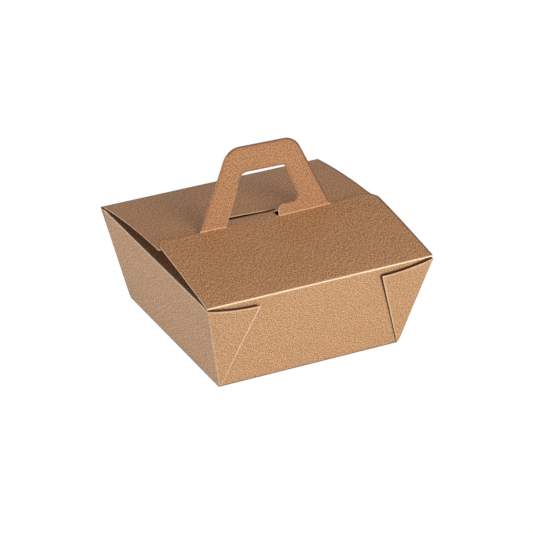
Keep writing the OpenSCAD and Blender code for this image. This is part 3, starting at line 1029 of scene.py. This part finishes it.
def tongue_sides(beyond):
    """Left and right side of the tongue at a distance past its root: the cut-out of the handle's
    window, a hair smaller, with its neck beside the foot and rounded free corners."""
    left = -WINDOW_HALF + WINDOW_SIDE * beyond + rounded(WINDOW_LEFT_R, WINDOW_H - beyond)
    neck = FOOT_X - NICK_DEPTH * np.exp(-(((beyond - 1.8 * NICK_HALF) / NICK_HALF) ** 2))
    hook = WINDOW_HALF - WINDOW_SIDE * beyond - rounded(FOOT_R, beyond - HOOK_FROM)
    return left + TONGUE_TRIM, np.where(beyond > HOOK_FROM, hook, neck) - TONGUE_TRIM


def front_lid_crease():
    """The front flap's crease, bent from the front wall into the flap."""
    start = end_wall_path()[-1]
    end = LID_CREASE + front_lid_curve([FOLD_CUT / LID_CHORD])[0] * np.array([-1, 1])
    path = np.concatenate([bend(start, LID_CREASE, end, 8), end[None]])
    lines = np.linspace(-1, 1, 41)[:, None]
    along = FRONT_LID_HALF * lines
    flare = FRONT_LID_FLARE * np.clip(lines, 0, 1) * np.linspace(0.6, 1, len(path))
    middle = turned(along + flare, path[:, 0], path[:, 1], 0)
    blank = turned(along, LID_START - FOLD_CUT + lengths(path), 0.0, 0)[..., :2]
    wear_and_painted_light = np.tile(1 - LID_CREASE_FADE * np.linspace(-1, 1, len(path)) ** 2, (len(lines), 1))
    board_piece("front_lid_crease", None, ["carton"], (middle, blank, wear_and_painted_light), blend=(start, end))


def handle_place(x, h):
    """Place on the handle: across it and up from its crease. The board leans back, is bowed a little
    to the front between crease and grip, and droops towards the right of its grip."""
    lean = np.radians(HANDLE_LEAN)
    before, tip = front_lid_curve([0.99, 1])
    back = unit(before - tip)
    up = np.array([np.sin(lean), np.cos(lean)])
    share = np.clip((h + FOLD_CUT) / (2 * FOLD_CUT), 0, 1)[..., None]
    folded = back * FOLD_CUT * (1 - share) ** 2 + up * FOLD_CUT * share**2
    side = np.where(h[..., None] > FOLD_CUT, up * h[..., None], folded)
    height = np.clip(h / HANDLE_H, 0, 1)
    forward = HANDLE_BOW * np.sin(np.pi * height)
    droop = HANDLE_DROOP * height * x / HANDLE_TOP_HALF
    rise = tip[1] + side[..., 1] + sag(x) * (1 - height) - droop
    return lid_place(x + HANDLE_SHIFT * height, tip[0] + side[..., 0] - forward, rise)


def handle():
    """Handle loop: a band between its outer outline and the outline of its window, which are matched
    station by station from the left leg over the grip to the foot beside the right leg."""
    low = -FOLD_CUT
    outer_corners = np.array([
        (-HANDLE_HALF, low),
        (-HANDLE_TOP_HALF, HANDLE_H),
        (HANDLE_TOP_HALF, HANDLE_H),
        (HANDLE_HALF, low),
    ])
    left_arc = corner_arc(*outer_corners[:3], HANDLE_LEFT_R)
    right_arc = corner_arc(*outer_corners[1:], HANDLE_RIGHT_R)
    window = np.array([
        (-WINDOW_HALF, low),
        (-WINDOW_TOP_HALF, WINDOW_H),
        (WINDOW_TOP_HALF, WINDOW_H),
        (WINDOW_HALF - WINDOW_SIDE * FOOT_H, FOOT_H),
        (FOOT_X, FOOT_H),
        (FOOT_X, low),
    ])
    top_left = corner_arc(*window[:3], WINDOW_LEFT_R)
    top_right = corner_arc(*window[1:4], WINDOW_RIGHT_R)
    leg_foot = corner_arc(*window[2:5], FOOT_R, 9)
    foot_top = corner_arc(*window[3:], FOOT_R, 9)

    def up_from(corner, end):
        """Rows from a leg's crease to an arc, close together in the fold."""
        fold = np.concatenate([np.linspace(low, FOLD_CUT, 7), np.array([0.7, 1.0, 1.4]) * MM])
        share = ((fold - corner[1]) / (end[1] - corner[1]))[:, None]
        start = corner * (1 - share) + end * share
        return np.concatenate([start[:-1], straight(start[-1], end, LEG_ROWS)])

    def right_side(height):
        """Place on the outer outline of the right leg at a height."""
        share = (height - low) / (right_arc[-1][1] - low)
        return np.array([HANDLE_HALF * (1 - share) + right_arc[-1][0] * share, height])

    window_path = np.concatenate([
        up_from(window[0], top_left[0]),
        top_left[:-1],
        straight(top_left[-1], top_right[0], GRIP_ROWS),
        top_right[:-1],
        straight(top_right[-1], leg_foot[0], GRIP_ROWS),
        leg_foot[:-1],
        straight(leg_foot[-1], foot_top[0], 6),
        foot_top[:-1],
        up_from(window[5], foot_top[-1])[::-1],
    ])
    heights = [leg_foot[0][1], FOOT_H + 2.2 * MM, FOOT_H + 0.2 * MM, foot_top[-1][1]]
    beside = [right_side(h) for h in heights]
    outline = np.concatenate([
        up_from(outer_corners[0], left_arc[0]),
        left_arc[:-1],
        straight(left_arc[-1], right_arc[0], GRIP_ROWS),
        right_arc[:-1],
        straight(right_arc[-1], beside[0], GRIP_ROWS),
        straight(beside[0], beside[1], 8),
        straight(beside[1], beside[2], 6),
        straight(beside[2], beside[3], 8),
        up_from(outer_corners[3], beside[3])[::-1],
    ])
    beside_cut = np.array([0.025, 0.045, 0.08])
    share = np.concatenate([[0], beside_cut, np.linspace(0.15, 0.85, 7), 1 - beside_cut[::-1], [1]])
    share = share[:, None, None]
    flat = outline * (1 - share) + window_path * share
    middle = handle_place(flat[..., 0], flat[..., 1])
    blank = np.stack([flat[..., 0], -LID_START - LID_CHORD - flat[..., 1]], axis=-1)
    band = np.linalg.norm(outline - window_path, axis=-1)
    to_window = (1 - share[..., 0]) * band
    on_foot = (window_path[:, 0] > 0) & (window_path[:, 1] < FOOT_H + 0.1 * MM)
    left_leg = (window_path[:, 0] < 0) & (window_path[:, 1] < WINDOW_H - WINDOW_LEFT_R)
    pale = HANDLE_FOOT_WEAR * on_foot + HANDLE_LEG_WEAR * left_leg
    outline_side = np.where(outline[:, 0] < -HANDLE_TOP_HALF, HANDLE_LEG_WEAR, HANDLE_CUT_WEAR)
    wear_and_painted_light = near_cut(share[..., 0] * band) * outline_side
    wear_and_painted_light += near_crease(np.clip(to_window - 0.25 * MM, 0, None)) * pale
    # Painted shade darkens the whole handle a little
    wear_and_painted_light += near_cut(to_window) * WINDOW_CUT_WEAR * (pale == 0) - HANDLE_PAINTED_SHADE
    from_crease = np.clip(np.abs(flat[..., 1]) - 0.4 * MM, 0, None)
    at_crease = HANDLE_CREASE_WEAR * near_crease(1.6 * from_crease)
    wear_and_painted_light = np.clip(wear_and_painted_light * (flat[..., 1] > 3 * CREASE_SPREAD) + at_crease, -1, 1)
    board_piece("handle", "lid", ["front_lid"], (middle[::-1], blank[::-1], wear_and_painted_light[::-1]))


board_piece("base", "tray", ["carton"], base_grid())
front_wall()
rear_wall_and_lid()
side_wall_and_dust_flap("right_wall_and_dust_flap", 1)
side_wall_and_dust_flap("left_wall_and_dust_flap", 3)
web_corner("front_right_web", 0, False)
web_corner("front_left_web", 0, True)
web_corner("rear_left_web", 2, False)
web_corner("rear_right_web", 2, True)
front_lid()
handle()
front_lid_crease()


# Floor, light and camera


def stand(name, data, azimuth, elevation, distance, target, roll=0.0):
    """Stands a camera or a lamp at a distance from its target, at an azimuth to the right of the
    front, an elevation and a roll, all in degrees."""
    azimuth, elevation, roll = np.radians([azimuth, elevation, roll])
    back = np.array([
        np.sin(azimuth) * np.cos(elevation),
        -np.cos(azimuth) * np.cos(elevation),
        np.sin(elevation),
    ])
    right = unit(np.cross(-back, [0, 0, 1]))
    up = np.cross(right, -back)
    place = np.eye(4)
    place[:3, 0] = right * np.cos(roll) + up * np.sin(roll)
    place[:3, 1] = up * np.cos(roll) - right * np.sin(roll)
    place[:3, 2] = back
    place[:3, 3] = target + back * distance
    placed = bpy.data.objects.new(name, data)
    placed.matrix_world = Matrix(place.tolist())
    bpy.context.scene.collection.objects.link(placed)
    return placed


def camera():
    """The photograph's view and lens."""
    data = bpy.data.cameras.new("camera")
    data.lens = CAMERA_LENS
    data.sensor_width = SENSOR
    view = (CAMERA_AZIMUTH, CAMERA_ELEVATION, CAMERA_DISTANCE, CAMERA_TARGET, CAMERA_ROLL)
    bpy.context.scene.camera = stand("camera", data, *view)


def white_when_seen(k, kind, shader, output, share):
    """Lets camera, glossy and transmission rays see plain white in place of a shader, by a share."""
    path = k.add("ShaderNodeLightPath")
    seen = path.outputs["Is Camera Ray"]
    for ray in ("Is Glossy Ray", "Is Transmission Ray"):
        seen = k.maths("MAXIMUM", seen, path.outputs[ray])
    white = k.add(kind, {0: (1, 1, 1, 1), 1: WHITE_LEVEL}).outputs[0]
    inputs = {0: k.maths("MULTIPLY", seen, share), 1: shader.outputs[0], 2: white}
    k.feed(k.tree.nodes[output], {0: k.add("ShaderNodeMixShader", inputs).outputs[0]})


def floor():
    """White floor level with the base, which takes the contact shadow."""
    mesh = bpy.data.meshes.new("floor")
    corners = [(x * FLOOR_HALF, y * FLOOR_HALF, 0) for x, y in ((-1, -1), (1, -1), (1, 1), (-1, 1))]
    mesh.from_pydata(corners, [], [(0, 1, 2, 3)])
    plane = bpy.data.objects.new("floor", mesh)
    bpy.context.scene.collection.objects.link(plane)
    material = bpy.data.materials.new("floor_white")
    k = Nodes(material)
    inputs = {"Base Color": FLOOR_COLOUR, "Roughness": 0.9, "Specular IOR Level": 0.2}
    shader = k.feed(k.tree.nodes["Principled BSDF"], inputs)
    white_when_seen(k, "ShaderNodeEmission", shader, "Material Output", FLOOR_WHITE)
    mesh.materials.append(material)


def studio():
    """Faint even light from all sides, a white background and the soft boxes."""
    world = bpy.data.worlds.new("studio")
    bpy.context.scene.world = world
    k = Nodes(world)
    sky = k.feed(k.tree.nodes["Background"], {0: (1, 1, 1, 1), 1: WORLD_LEVEL})
    white_when_seen(k, "ShaderNodeBackground", sky, "World Output", 1.0)
    for name, (azimuth, elevation, size, power, tint) in LAMPS.items():
        data = bpy.data.lights.new(name, "AREA")
        data.size = size
        data.energy = power
        data.color = tint
        stand(name, data, azimuth, elevation, LAMP_DISTANCE, LAMP_AIM)


floor()
studio()
camera()
bpy.context.scene.view_settings.view_transform = "Standard"
